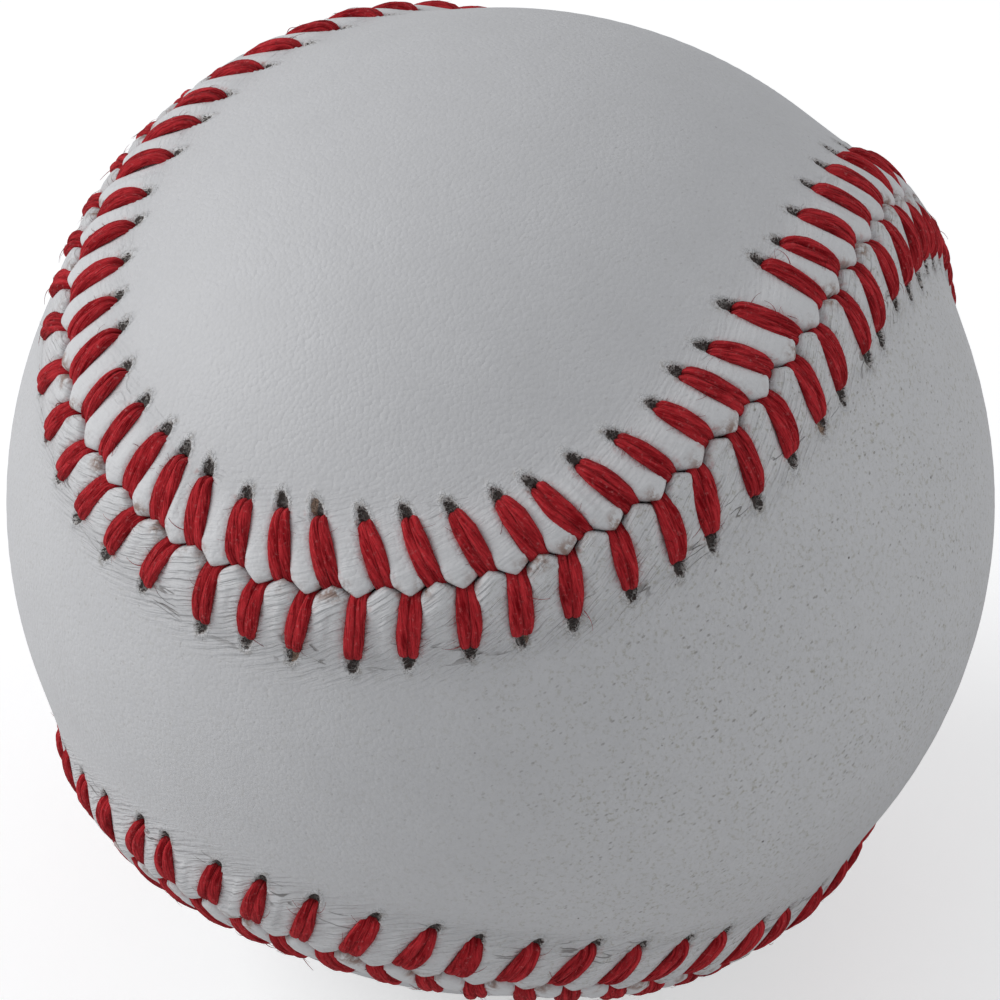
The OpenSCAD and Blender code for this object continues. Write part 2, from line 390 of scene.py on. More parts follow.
# Leather: two like figure-eight panels, cut from tanned hide and stretched damp over the cement.
# Red thread draws their edges together along one closed seam, through 108 awl holes a side, so
# that the leather swells up between the stitches and tears a little at the holes.
COVER_R, COVER_IN_R = 36.5, 35.2
STITCHES = 108
SEAM_POINTS, SEAM_STEP = 21601, 1e-4
SEAM_LAT, SEAM_LAT_TRIM = 68.2, -3.4
SEAM_LON, SEAM_LON_TRIM = 18.8, -1.4
SEAM_GAP = 0.12
LEAN, LEAN_SPREAD, SWAY, SWAYS_ROUND = 16.0, 3.4, 3.0, 5
HOLE_AT, HOLE_LONG, HOLE_WIDE, HOLE_DEEP = 5.05, 0.90, 0.48, 0.28
HOLE_SPREAD, WIDTH_SPREAD, PUFF_SPREAD = 0.22, 0.06, 0.12
RIDGE_H = 1.5
LEG_MID = 2.75
LEAN_SLOPE, LEAN_COS = math.tan(math.radians(LEAN)), math.cos(math.radians(LEAN))
LEG_IN = LEG_MID * LEAN_SLOPE
RIDGE_REACH = math.sqrt(2 * COVER_R * RIDGE_H)
drawn = np.random.default_rng(216)


def seam_dir(t):
    lat = np.radians(SEAM_LAT * np.cos(2 * t) + SEAM_LAT_TRIM * np.cos(6 * t))
    lon = t + np.radians(SEAM_LON * np.sin(4 * t) + SEAM_LON_TRIM * np.sin(8 * t))
    return np.stack([np.cos(lat) * np.cos(lon), np.sin(lat), -np.cos(lat) * np.sin(lon)], -1)


def unit(v):
    return v / np.linalg.norm(v, axis=-1, keepdims=True)


seam_t = np.linspace(0, 2 * np.pi, SEAM_POINTS)
seam_s = np.concatenate([[0], np.cumsum(np.linalg.norm(np.diff(seam_dir(seam_t), axis=0), axis=1))])
seam_s *= COVER_R
SEAM_LENGTH = seam_s[-1]
PITCH = SEAM_LENGTH / STITCHES


def seam_frame(s):
    """Out, across and along directions at a length s of the seam."""
    t = np.interp(np.mod(s, SEAM_LENGTH), seam_s, seam_t)
    out, run = seam_dir(t), unit(seam_dir(t + SEAM_STEP) - seam_dir(t - SEAM_STEP))
    return out, np.cross(out, run), run


def beside_seam(side, s, across):
    """Directions that lie across millimetres in from the seam, on one side of it."""
    out, aside, _ = seam_frame(s)
    return unit(out + side * aside * np.broadcast_to(across, s.shape)[:, None] / COVER_R)


def stitch_row(side):
    """The 108 stitches of one side, each with its own lean, hole, width and swell."""
    stagger = 0 if side > 0 else 0.5
    at = (np.arange(STITCHES) + stagger) * PITCH
    sway = SWAY * np.sin(at / SEAM_LENGTH * 2 * np.pi * SWAYS_ROUND + side)
    row = {
        "side": side, "stagger": stagger,
        "lean": np.tan(np.radians(LEAN + sway + drawn.normal(0, LEAN_SPREAD, STITCHES))),
        "hole": HOLE_AT + np.clip(drawn.normal(0, HOLE_SPREAD, STITCHES), -0.45, 0.45),
        "width": 1 + np.clip(drawn.normal(0, WIDTH_SPREAD, STITCHES), -0.13, 0.13),
        "puff": 1 + drawn.normal(0, PUFF_SPREAD, STITCHES),
    }
    row["out"], row["across"], row["run"] = seam_frame(at)
    return row


def from_leg(row, k, way):
    """Across millimetres of a direction, and millimetres off the middle line of stitch k."""
    depth = (way * row["out"][k]).sum(-1)
    across = (way * row["across"][k]).sum(-1) / depth * COVER_R * row["side"]
    along = (way * row["run"][k]).sum(-1) / depth * COVER_R
    return across, along - (LEG_IN - across * row["lean"][k])


# Height of the thread's middle over the ball, from under the far leather to inside the hole
leg_across = np.array([-0.25, 0.0, 0.25, 0.5, 0.9, 1.5, 2.1, 2.7, 3.2, 3.7, 4.1, 4.4, 4.55, 4.63])
leg_height = np.array([-0.8, 0.0, 0.62, 0.98, 1.22, 1.34, 1.35, 1.28, 1.17, 1.02, 0.86, 0.64, 0.2,
                       -0.5])
rows_of_stitches = {side: stitch_row(side) for side in (1, -1)}

# Sizes of the drawn leather: grooves under the thread, swells between, and the rolled, wavy edge
GROOVE_HALF, GROOVE_WALL, GROOVE_BOTTOM = 0.60, 0.34, 0.74
NARROWS, SUNK, GROOVE_MOST = 0.20, 0.25, 0.10
PUFF_H, PUFF_FADE = 0.50, (2.4, 6.3)
CREST_MOST, CREST_SAG = 1.66, 0.25
LIP_H, LIP_AT, LIP_W = 0.08, 1.25, 0.22
ROLL_W, ROLL_EDGE = 0.55, 0.50
WAVE, WAVE_FADE, WAVE_AT, FLESH_WAVE = 0.58, 1.1, 0.3, 0.6
CUT_EDGE_H = 0.9
FAR = 99.0


def smooth(x, low, high):
    x = np.clip((x - low) / (high - low), 0, 1)
    return x * x * (3 - 2 * x)


def lanes(row, s, way):
    """For each point: across, how far the stitch behind and the one ahead are, and the nearest."""
    base = np.floor(s / PITCH - row["stagger"]).astype(int)
    behind, ahead, least = (np.full(s.shape, FAR) for _ in range(3))
    across = np.zeros(s.shape)
    nearest = np.zeros(s.shape, int)
    for step in range(-2, 4):
        k = (base + step) % STITCHES
        a, w = from_leg(row, k, way)
        behind = np.where((w >= 0) & (w < behind), w, behind)
        ahead = np.where((w < 0) & (-w < ahead), -w, ahead)
        closer = np.abs(w) < least
        least = np.where(closer, np.abs(w), least)
        nearest = np.where(closer, k, nearest)
        across = np.where(closer, a, across)
    return across, behind, ahead, nearest


def leather_height(row, s, u, way, across):
    """Height over the ball of the drawn leather, u millimetres in from its own edge."""
    _, behind, ahead, near = lanes(row, s, way)
    off = np.minimum(behind, ahead)
    reach = across * (HOLE_AT / row["hole"][near])
    half = GROOVE_HALF * row["width"][near] * (1 - NARROWS * smooth(reach, 3.0, 4.5))

    # The ridge over the seam, the swell between two stitches, and the edge that rolls under
    tent = np.maximum(0, RIDGE_REACH - across) ** 2 / (2 * COVER_R)
    between = np.clip(2 * (behind - half) / np.maximum(behind + ahead - 2 * half, 0.2) - 1, -1, 1)
    swell = (1 - np.abs(between) ** 3.0) ** 0.6
    puff = PUFF_H * row["puff"][near] * (1 - smooth(across, *PUFF_FADE)) * swell
    crest = np.minimum(tent + puff, CREST_MOST - CREST_SAG * np.abs(between) ** 2)
    roll = np.sqrt(np.clip(1 - (1 - np.minimum(u / ROLL_W, 1)) ** 2, 0, 1))
    crest = crest * (ROLL_EDGE + (1 - ROLL_EDGE) * roll)

    # The groove under the thread, which ends beyond the hole
    floor = np.minimum(np.interp(reach, leg_across, leg_height) - SUNK, tent + GROOVE_MOST)
    bottom = half * GROOVE_BOTTOM
    out_of_groove = smooth(off, bottom, bottom + GROOVE_WALL)
    beyond = smooth(reach, 4.4, 4.9)
    h = crest * out_of_groove + np.where(beyond < 1, floor, 0) * (1 - out_of_groove)
    h = np.where(beyond > 0, h * (1 - beyond) + crest * beyond, h)

    # The hole and its lip
    hole = np.sqrt((off / HOLE_WIDE) ** 2 + ((across - row["hole"][near]) / HOLE_LONG) ** 2)
    lip = LIP_H * np.exp(-((hole - LIP_AT) / LIP_W) ** 2)
    return h + lip - HOLE_DEEP * (1 - smooth(hole, 0.62, 1.05))


# Points of a panel: fine and coarse columns along the seam, and rows from the seam to the spine,
# which is the panel's middle line
FINE, COARSE = 18 * STITCHES, 6 * STITCHES
fine_rows = np.concatenate([np.linspace(0, 1.2, 11)[:-1], np.linspace(1.2, 4.4, 14)[:-1],
                            np.linspace(4.4, 6.5, 12)[:-1], [6.5, 7.1, 7.9, 9.0, 10.4]])
SKIN_FROM, SKIN_DEPTH, SKIN_ROWS = 11.5, 12, 11
FLESH_EDGE, FLESH_FROM, FLESH_ROWS = (0.8, 4.0), 10.0, 6
SPINE_END = math.radians(110)
UNSEEN = -1.0


def spine_steps(side):
    """The step on the panel's middle line to which each coarse column runs."""
    quarter = COARSE // 4
    n = (np.arange(COARSE) + (0 if side > 0 else 3 * quarter)) % COARSE
    return np.where(n <= quarter, n, np.where(n <= 3 * quarter, 2 * quarter - n, n - COARSE))


def spine_way(side, step):
    a = SPINE_END * step / (COARSE // 4)
    zero = np.zeros_like(a)
    if side > 0:
        return np.stack([zero, np.cos(a), -np.sin(a)], -1)
    return np.stack([-np.sin(a), -np.cos(a), zero], -1)


class Skin:
    """Rings of points that follow the seam, and the faces between them with their seam map."""

    def __init__(self, steps):
        self.steps = steps
        self.points, self.rings, self.faces, self.corners = [], [], [], []

    def placed(self):
        return sum(len(some) for some in self.points)

    def ring(self, way, radius, inward):
        """A ring of directions at a radius; inward is what its map says of it."""
        self.rings.append((self.placed(), len(way), np.broadcast_to(inward, len(way))))
        self.points.append(way * np.broadcast_to(radius, len(way))[:, None])

    def spine(self, side, radius):
        """The middle line at a radius. Returns the number of the point at its step 0."""
        zero = self.placed() - self.steps.min()
        reached = np.arange(self.steps.min(), self.steps.max() + 1)
        self.points.append(spine_way(side, reached.astype(float)) * radius)
        return zero

    def at(self, r, c):
        start, count, _ = self.rings[r]
        return start + c % count

    def uv(self, r, c):
        _, count, inward = self.rings[r]
        return np.stack([c * SEAM_LENGTH / count, inward[c % count]], -1)

    def add(self, *corner):
        """Faces given corner by corner, as (ring, columns)."""
        self.faces.append(np.stack([self.at(r, c) for r, c in corner], -1))
        self.corners.append(np.stack([self.uv(r, c) for r, c in corner], 1))

    def strip(self, a, b):
        """Joins two rings; where one has a third of the other's columns, triangles fan out."""
        if self.rings[a][1] == self.rings[b][1]:
            c = np.arange(self.rings[a][1])
            self.add((a, c), (a, c + 1), (b, c + 1), (b, c))
            return
        fine, coarse = (a, b) if self.rings[a][1] > self.rings[b][1] else (b, a)
        c = np.arange(self.rings[coarse][1])
        f = 3 * c
        for first, second, third in (
                ((fine, f), (fine, f + 1), (coarse, c)),
                ((fine, f + 1), (coarse, c + 1), (coarse, c)),
                ((fine, f + 1), (fine, f + 2), (coarse, c + 1)),
                ((fine, f + 2), (fine, f + 3), (coarse, c + 1))):
            if fine == a:
                self.add(first, second, third)
            else:
                self.add(second, first, third)

    def close(self, r, zero, flip):
        """Joins the last ring to the middle line whose step 0 is the point zero."""
        c = np.arange(COARSE)
        here, ahead_of = self.steps[c], self.steps[(c + 1) % COARSE]
        quad = np.stack([self.at(r, c), self.at(r, c + 1), zero + ahead_of, zero + here], -1)
        flat = np.stack([self.uv(r, c), self.uv(r, c + 1), self.uv(r, c + 1), self.uv(r, c)], 1)
        self.faces.append(quad[:, ::-1] if flip else quad)
        self.corners.append(flat[:, ::-1] if flip else flat)


def panel_skin(side):
    """Outer skin in rings from the seam to the middle line, a cut edge and the flesh side."""
    row, skin = rows_of_stitches[side], Skin(spine_steps(side))
    s = np.arange(FINE) / FINE * SEAM_LENGTH
    _, behind, ahead, _ = lanes(row, s, beside_seam(side, s, WAVE_AT))
    zigzag = 1 - 2 * np.abs(behind - ahead) / (behind + ahead)
    wave = WAVE * (0.8 * zigzag + 0.2 * np.sin(zigzag * np.pi / 2))
    for radius in (COVER_IN_R, COVER_IN_R + CUT_EDGE_H):
        skin.ring(beside_seam(side, s, SEAM_GAP / 2 - wave * FLESH_WAVE), radius, UNSEEN)
    for u in fine_rows:
        across = u + SEAM_GAP / 2 - wave * math.exp(-(u / WAVE_FADE) ** 2)
        way = beside_seam(side, s, across)
        skin.ring(way, COVER_R + leather_height(row, s, u, way, across), across)
    s = np.arange(COARSE) / COARSE * SEAM_LENGTH
    middle = spine_way(side, skin.steps.astype(float))
    last = beside_seam(side, s, SKIN_FROM)
    for share in np.arange(SKIN_ROWS) / SKIN_ROWS:
        way = unit(last * (1 - share) + middle * share)
        skin.ring(way, COVER_R, SKIN_FROM + SKIN_DEPTH * share)
    skin_last = len(skin.rings) - 1
    skin_zero, flesh_zero = skin.spine(side, COVER_R), skin.spine(side, COVER_IN_R)
    flesh_first = len(skin.rings)
    for across in FLESH_EDGE:
        skin.ring(beside_seam(side, s, across), COVER_IN_R, UNSEEN)
    last = beside_seam(side, s, FLESH_FROM)
    for share in np.arange(FLESH_ROWS) / FLESH_ROWS:
        skin.ring(unit(last * (1 - share) + middle * share), COVER_IN_R, UNSEEN)
    flesh_last = len(skin.rings) - 1
    for r in range(skin_last):
        skin.strip(r, r + 1)
    skin.close(skin_last, skin_zero, False)
    for r in range(flesh_last, flesh_first, -1):
        skin.strip(r, r - 1)
    skin.strip(flesh_first, 0)
    skin.close(flesh_last, flesh_zero, True)
    return skin


def mesh_of(name, points, faces, **maps):
    """A smooth mesh of points in millimetres, with maps given corner by corner."""
    mesh = bpy.data.meshes.new(name)
    mesh.from_pydata((points * MM).tolist(), [], faces)
    for label, flat in maps.items():
        layer = mesh.uv_layers.new(name=label)
        layer.data.foreach_set("uv", np.array(flat, np.float32).ravel())
    mesh.polygons.foreach_set("use_smooth", np.ones(len(faces), bool))
    return mesh


def leather_panel(name, side):
    """A panel with two maps: along the seam and inward, and off and past the nearest stitch."""
    row, skin = rows_of_stitches[side], panel_skin(side)
    xyz = np.concatenate(skin.points)
    listed, seam_map, stitch_map = [], [], []
    for f, uvs in zip(skin.faces, skin.corners):
        # The rings run round the two panels opposite ways, so one side's corners are turned
        if side < 0:
            f, uvs = f[:, ::-1], uvs[:, ::-1]
        listed += f.tolist()
        seam_map.append(uvs.reshape(-1, 2))
        _, _, _, near = lanes(row, uvs[:, :, 0].mean(1), unit(xyz[f].mean(1)))
        across, off = from_leg(row, np.repeat(near[:, None], f.shape[1], 1), unit(xyz[f]))
        stitch_map.append(np.stack([off, across - row["hole"][near][:, None]], -1).reshape(-1, 2))
    return mesh_of(name, xyz, listed, seam=np.concatenate(seam_map),
                   stitch=np.concatenate(stitch_map))


# Directions in the ball's frame: how the hair lay, and the side that faces the camera's right
HAIR_WAY = (0.476, 0.753, 0.451)
CAMERA_RIGHT_WAY = (0.825, 0.565, 0.0)


class Hide(Finish):
    """White hide, laid on thing by thing: each method adds its own colours and relief."""

    def __init__(self, name):
        super().__init__(name)
        self.run, self.inward = self.map("seam")
        off, self.past_hole = self.map("stitch")
        self.off = abs(off)
        self.near_seam = self.rise(self.inward, 8.5, 4.5)
        self.fine = self.noise(self.place, 7.0, 2.0, 0.6)
        self.warp = self.noise(self.place, 0.5, 2.0) * 1.6
        self.rub = self.noise(self.at(self.run * 1.6, self.inward * 1.6, 3.0), 1.0, 4.0, 0.7)
        lying = self.vector("DOT_PRODUCT", self.place, HAIR_WAY)
        self.drawn_out = self.vector("SUBTRACT", self.place,
                                     self.vector("SCALE", HAIR_WAY, scale=lying * 0.5))
        self.streak = self.noise(self.drawn_out, 2.8, 2.0, 0.6)

    def lay(self, share, colour):
        self.colour = self.mix(share, self.colour, colour)

    def grain(self, depth):
        """Pebbled grain, in a tone that is patchy and streaked along the hair."""
        soft = self.noise(self.place, 0.25, 3.0)
        pebble = 1.0 - self.cells(self.place, 3.3) ** 2.0
        self.relief = (pebble * 0.030 + self.fine * 0.014) * depth * (0.4 + soft * 1.2)
        tone = soft * 0.4 + self.fine * 0.2 + self.streak * 0.4
        self.colour = self.mix(tone, (0.535, 0.535, 0.545, 1), (0.675, 0.675, 0.688, 1))

    def pull(self, creasing, slope):
        """Paler leather by the seam; fine folds along the thread's pull, painted shade in them."""
        folded = (self.inward + self.run * slope) * 3.0 + self.warp
        folds = self.rise(self.noise(self.at(self.run * 0.30, folded), 1.0, 2.0, 0.5), 0.3, 0.7)
        folds = folds * self.near_seam * creasing
        self.relief = self.relief + folds * 0.13
        self.lay(self.rise(self.inward, 5.4, 3.4) * 0.42, (0.80, 0.80, 0.81, 1))
        # Painted shade: the valleys of the folds beside the seam are darkened in colour
        self.lay((self.near_seam * creasing - folds) * 0.10, (0.30, 0.30, 0.30, 1))

    def wear(self, marks, soil):
        """Open pores, grey-brown dust and dark spots, most of them towards the camera's right."""
        rightward = self.vector("DOT_PRODUCT", self.place, CAMERA_RIGHT_WAY)
        marks = marks * (0.3 + self.rise(rightward, -10.0, 12.0) * 0.7)
        cloud = self.noise(self.place, 0.15, 3.0, 0.6)
        pore, spot = self.cells(self.drawn_out, 2.8), self.cells(self.place, 0.8)
        pores = self.rise(pore + (1.0 - self.luck(pore)) * (1.3 - cloud * 1.6), 0.34, 0.14) * marks
        spots = self.rise(spot + (1.0 - self.luck(spot)) * 0.6, 0.10, 0.055)
        grime = self.rise(self.noise(self.place, 2.8, 4.0, 0.7), 0.50, 0.72)
        self.relief = self.relief + self.streak * marks * 0.08 - pores * 0.04
        self.lay(grime * marks * soil * (0.3 + cloud), (0.40, 0.385, 0.33, 1))
        self.lay(pores * (0.25 + self.fine * 0.6), (0.22, 0.20, 0.17, 1))
        self.lay(spots * marks, (0.10, 0.085, 0.08, 1))

    def cracks(self, creasing):
        """A few deep creases, painted dark as their shade, about the line of the awl holes."""
        ridge = self.noise(self.at(self.run * 0.25, self.inward + self.warp * 0.3, 7.0), 1.0, 1.0)
        line = self.rise(abs(ridge * 2.0 - 1.0), 0.045, 0.012)
        patch = self.noise(self.at(self.run * 0.30, self.inward * 0.2, 5.0), 1.0, 1.0)
        band = self.rise(self.inward, 3.2, 4.0) * self.rise(self.inward, 6.3, 5.2)
        crack = line * band * self.rise(patch, 0.51, 0.58) * creasing
        self.relief = self.relief - crack * 0.12
        # Painted shade: the crease lines are darkened in colour
        self.lay(crack * 0.65, (0.13, 0.11, 0.10, 1))

    def stains(self):
        """Red rubbed off beside the thread, and brown fluff caught at places in the seam."""
        dye = self.rise(self.off, 1.30, 0.75) * self.rise(self.past_hole, 0.3, -0.4)
        dye = dye * self.near_seam * self.rise(self.rub, 0.46, 0.72)
        self.lay(dye * 0.6, (0.45, 0.12, 0.11, 1))
        junction = self.noise(self.at(self.run * 0.36, 2.0), 1.0, 1.0)
        fluff = self.rise(self.inward, 1.15, 0.1) * self.rise(junction, 0.47, 0.58)
        self.lay(fluff * self.rise(self.rub, 0.38, 0.60) * 0.85, (0.25, 0.14, 0.10, 1))

    def holes(self):
        """Awl holes in painted shade, with torn, frayed rims, some plugged. Returns where they are.
        """
        hole = ((self.off / HOLE_WIDE) ** 2.0 + (self.past_hole / HOLE_LONG) ** 2.0) ** 0.5
        hole = hole + self.noise(self.place, 2.6, 3.0, 0.65) * 0.8 - 0.4
        inside = self.rise(hole, 1.06, 0.90)
        torn = inside + self.rise(hole, 1.9, 1.1) * 0.6
        hairs = abs(self.noise(self.place, 2.2, 3.0, 0.6) * 2.0 - 1.0)
        frayed = self.rise(hairs, 0.17, 0.04)
        self.relief = self.relief + frayed * torn * 0.12 - inside * 0.10
        # Painted shade: the pit is near black, with pale torn fibres and some plugs in it
        pit = self.mix(frayed * (0.15 + self.rise(hole, 0.45, 1.0) * 0.85),
                       (0.060, 0.047, 0.042, 1), (0.58, 0.56, 0.54, 1))
        plug = self.rise(self.noise(self.at(self.run * 0.28, 9.0), 1.0, 1.0), 0.64, 0.66)
        pit = self.mix(plug * 0.8, pit, (0.42, 0.29, 0.21, 1))
        self.lay(self.rise(hole, 1.5, 1.06) * 0.35, (0.76, 0.76, 0.76, 1))
        halo = self.rise(hole, 2.2, 1.2) * self.rise(self.rub, 0.48, 0.68)
        self.lay(halo * 0.5, (0.30, 0.26, 0.21, 1))
        self.lay(inside, pit)
        return inside


def leather_finish(name, depth, creasing, slope, marks, soil):
    hide = Hide(name)
    hide.grain(depth)
    hide.pull(creasing, slope)
    hide.wear(marks, soil)
    hide.cracks(creasing)
    hide.stains()
    inside = hide.holes()
    return hide.surface(hide.colour, 0.5 + hide.fine * 0.12 + inside * 0.25, hide.relief)


for name, side, node, finish in (
        ("leather_panel_top_bottom", 1, "cover_panel_top_bottom",
         leather_finish("white_leather_grained", 1.0, 0.24, -LEAN_SLOPE, 0.3, 0.5)),
        ("leather_panel_sides", -1, "cover_panel_sides",
         leather_finish("white_leather_worn", 0.9, 1.0, 0.5, 1.0, 1.0))):
    panel = bpy.data.objects.new(name, leather_panel(name, side))
    scene.collection.objects.link(panel)
    panel.data.materials.append(finish)
    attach(panel, "root")
    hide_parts(node)


# Thread: doubled waxed red cotton. Each visible leg comes out of its awl hole, lies over the
# leather in two plies side by side, and dives into the seam under the far panel.
STRAND_W, STRAND_H, STRAND_OFF = 0.47, 0.37, 0.385
TAPER_OUT, TAPER_IN = 0.20, 0.14
SWING, BOW = 0.018, 0.11
SIDES_OF_STRAND, RINGS_OF_LEG, LEG_SHAPES = 12, 15, 10
SQUARENESS = 0.85
PLIES_OF_STRAND, PLY_H = 3, 0.035
STRAND_SHIFT, LEG_SHIFT = 10.0, 3.0

# Stray fibres: where they stand along a leg and off its middle, the angle at which they leave it
# with its spread, and their least and greatest length
FIBRE_REACH, FIBRE_OFF, FIBRE_AWAY, FIBRE_LONG = (0.4, 4.6), (0.2, 0.82), (0.9, 0.5), (0.2, 1.7)
FIBRE_R = 0.025
SIDES_OF_FIBRE, RINGS_OF_FIBRE, FIBRE_SHAPES, FIBRES_A_LEG = 3, 6, 9, 16
FIBRE_SEED = 900
FIBRE_MAP = (0.2, 0.25)


def ring_angles(sides):
    return np.arange(sides) * math.tau / sides


def tube(start, along, around):
    """Faces and map of a closed tube: each ring's place along, each side's edges around."""
    sides, faces, flat = len(around), [], []
    for i in range(len(along) - 1):
        a, b = start + i * sides, start + (i + 1) * sides
        for j, (u, v) in enumerate(around):
            n = (j + 1) % sides
            faces.append([a + n, b + n, b + j, a + j])
            flat += [(v, along[i]), (v, along[i + 1]), (u, along[i + 1]), (u, along[i])]
    last = start + (len(along) - 1) * sides
    faces += [list(range(start, start + sides))[::-1], list(range(last, last + sides))]
    return faces, flat + [(around[0][0], 0.0)] * 2 * sides


def thread_strand(luck, strand, path, taper, bow):
    """Points of one of a leg's two plies, with a swing, width and lift of its own."""
    reach, x, z, up_x, up_z = path
    swing = np.cumsum(luck.normal(0, SWING, RINGS_OF_LEG))
    wide = STRAND_W * taper * (
        1 + luck.normal(0, 0.04) + 0.06 * np.sin(reach * 1.3 + luck.uniform(0, 6)))
    tall = STRAND_H * (1 + 0.05 * np.sin(reach * 1.7 + luck.uniform(0, 6)))
    middle = strand * STRAND_OFF * taper + swing - swing.mean() + bow
    lift = luck.normal(0, 0.03) + 0.04 * strand * np.sin(reach * 0.9 + luck.uniform(0, 6))
    a = ring_angles(SIDES_OF_STRAND)
    out, over = (np.copysign(np.abs(part) ** SQUARENESS, part) for part in (np.cos(a), np.sin(a)))
    ply = 1 + PLY_H * np.cos(PLIES_OF_STRAND * (a - reach[:, None] * 0.4))
    y = middle[:, None] + wide[:, None] * out * ply
    h = tall[:, None] * over * ply + lift[:, None]
    x, z, up_x, up_z = (part[:, None] for part in (x, z, up_x, up_z))
    return np.stack([x + up_x * h, y, z + up_z * h], -1).reshape(-1, 3)


def thread_leg(name, seed):
    """One leg in its own frame: x out from the seam, y along it, z up, all from the ball's skin."""
    luck = np.random.default_rng(seed)
    reach = np.interp(np.linspace(0, 1, RINGS_OF_LEG), np.linspace(0, 1, len(leg_across)),
                      leg_across)
    radius = COVER_R + np.interp(reach, leg_across, leg_height)
    turn = (reach - LEG_MID) / LEAN_COS / COVER_R
    x, z = radius * np.sin(turn), radius * np.cos(turn) - COVER_R
    dx, dz = np.gradient(x), np.gradient(z)
    length = np.hypot(dx, dz)
    path = reach, x, z, -dz / length, dx / length
    taper = (1 - TAPER_OUT * smooth(reach, 3.2, 4.7)) * (1 - TAPER_IN * smooth(reach, 1.4, 0.2))
    bow = luck.normal(0, BOW) * (1 - ((reach - 2.2) / 2.4) ** 2)
    along = np.concatenate([[0], np.cumsum(np.hypot(np.diff(x), np.diff(z)))])
    around = [(j / SIDES_OF_STRAND, (j + 1) / SIDES_OF_STRAND) for j in range(SIDES_OF_STRAND)]
    points, faces, flat = [], [], []
    for strand in (-1, 1):
        shift = STRAND_SHIFT * (strand + 1) + LEG_SHIFT * seed
        more, mapped = tube(sum(len(p) for p in points), along + shift, around)
        points.append(thread_strand(luck, strand, path, taper, bow))
        faces += more
        flat += mapped
    return bpy.data.objects.new(name, mesh_of(name, np.concatenate(points), faces, strand=flat))


def stray_fibre(name, seed):
    """A fibre a millimetre long that has come loose, rooted at its origin, lifting and curling."""
    luck = np.random.default_rng(FIBRE_SEED + seed)
    t = np.linspace(0, 1, RINGS_OF_FIBRE)
    y = luck.normal(0, 0.35) * t ** 2 + luck.normal(0, 0.25) * t ** 3
    z = luck.uniform(0.1, 0.5) * t - luck.uniform(0.2, 0.7) * t ** 2
    a = ring_angles(SIDES_OF_FIBRE)
    x, y, z, thick = (part[:, None] for part in (t, y, z, FIBRE_R * (1 - 0.6 * t)))
    rings = np.broadcast_arrays(x, y + thick * np.cos(a), z + thick * np.sin(a))
    points = np.stack(rings, -1).reshape(-1, 3)
    faces, flat = tube(0, t, [FIBRE_MAP] * SIDES_OF_FIBRE)
    return bpy.data.objects.new(name, mesh_of(name, points, faces, strand=flat))


def thread_finish():
    """Deep red fibres and brighter ones, painted shade in grooves, wax flecks as painted
    highlights.
    """
    finish = Finish("waxed_red_thread")
    around, along = finish.map("strand")
    tint = finish.own("tint")
    twist = around * 2.8 + along * 0.14
    fibre = finish.noise(finish.at(twist * 8.5, along * 0.8, tint * 20.0), 1.0, 3.0, 0.65)
    plies = finish.noise(finish.at(twist * 2.2, along * 0.3, tint * 9.0), 1.0, 1.0)
    # Partly painted shade: the thread is darker red where its bump is low, in the grooves
    shade = finish.rise(fibre * 0.65 + plies * 0.35, 0.33, 0.66)
    deep = finish.mix(tint, (0.165, 0.001, 0.004, 1), (0.235, 0.002, 0.006, 1))
    colour = finish.mix(shade, deep, (0.64, 0.038, 0.048, 1))
    # Painted highlights: pale pink flecks of the wax stand in for its glints
    glint_flecks = finish.rise(finish.noise(finish.place, 3.2, 4.0, 0.7), 0.54, 0.80)
    colour = finish.mix(glint_flecks * 0.55, colour, (0.70, 0.25, 0.25, 1))
    return finish.surface(colour, 0.8 + fibre * 0.15, fibre * 0.22 + plies * 0.1,
                          Specular_IOR_Level=0.04, Sheen_Weight=0.05,
                          Sheen_Tint=(1.0, 0.75, 0.75, 1.0))


def set_on_points():
    """Sets a shape on every point, picked, turned to its axes and stretched by the point."""
    sewn = Growth("sewn_thread", {"Shapes": "Collection", "Thread width": "Float"})
    node = sewn.node

    def carried(name, kind):
        return node("GeometryNodeInputNamedAttribute", {"data_type": kind}, {"Name": name})

    shapes = node("GeometryNodeCollectionInfo", {}, {
        "Collection": sewn.given["Shapes"], "Separate Children": True, "Reset Children": True})
    turned = node("FunctionNodeAxesToRotation", {"primary_axis": "Z", "secondary_axis": "X"}, {
        "Primary Axis": carried("up", "FLOAT_VECTOR"),
        "Secondary Axis": carried("ahead", "FLOAT_VECTOR")})
    wide = node("ShaderNodeCombineXYZ", {}, {"X": 1.0, "Y": sewn.given["Thread width"], "Z": 1.0})
    sewn.ends(node("GeometryNodeInstanceOnPoints", {}, {
        "Points": sewn.given["Geometry"], "Instance": shapes, "Pick Instance": True,
        "Instance Index": carried("shape", "INT"), "Rotation": turned,
        "Scale": sewn.vector("MULTIPLY", carried("stretch", "FLOAT_VECTOR"), wide)}))
    return sewn


def leg_axes(row):
    """The up and ahead directions of each leg at its middle, and its stretch."""
    mid_along = LEG_IN - LEG_MID * row["lean"]
    sideways = row["across"] * row["side"]
    up = unit(row["out"] + (sideways * LEG_MID + row["run"] * mid_along[:, None]) / COVER_R)
    ahead = sideways - row["run"] * row["lean"][:, None]
    ahead = unit(ahead - up * (ahead * up).sum(-1, keepdims=True))
    return up, ahead, np.stack([row["hole"] / HOLE_AT, row["width"], np.ones(STITCHES)], -1)


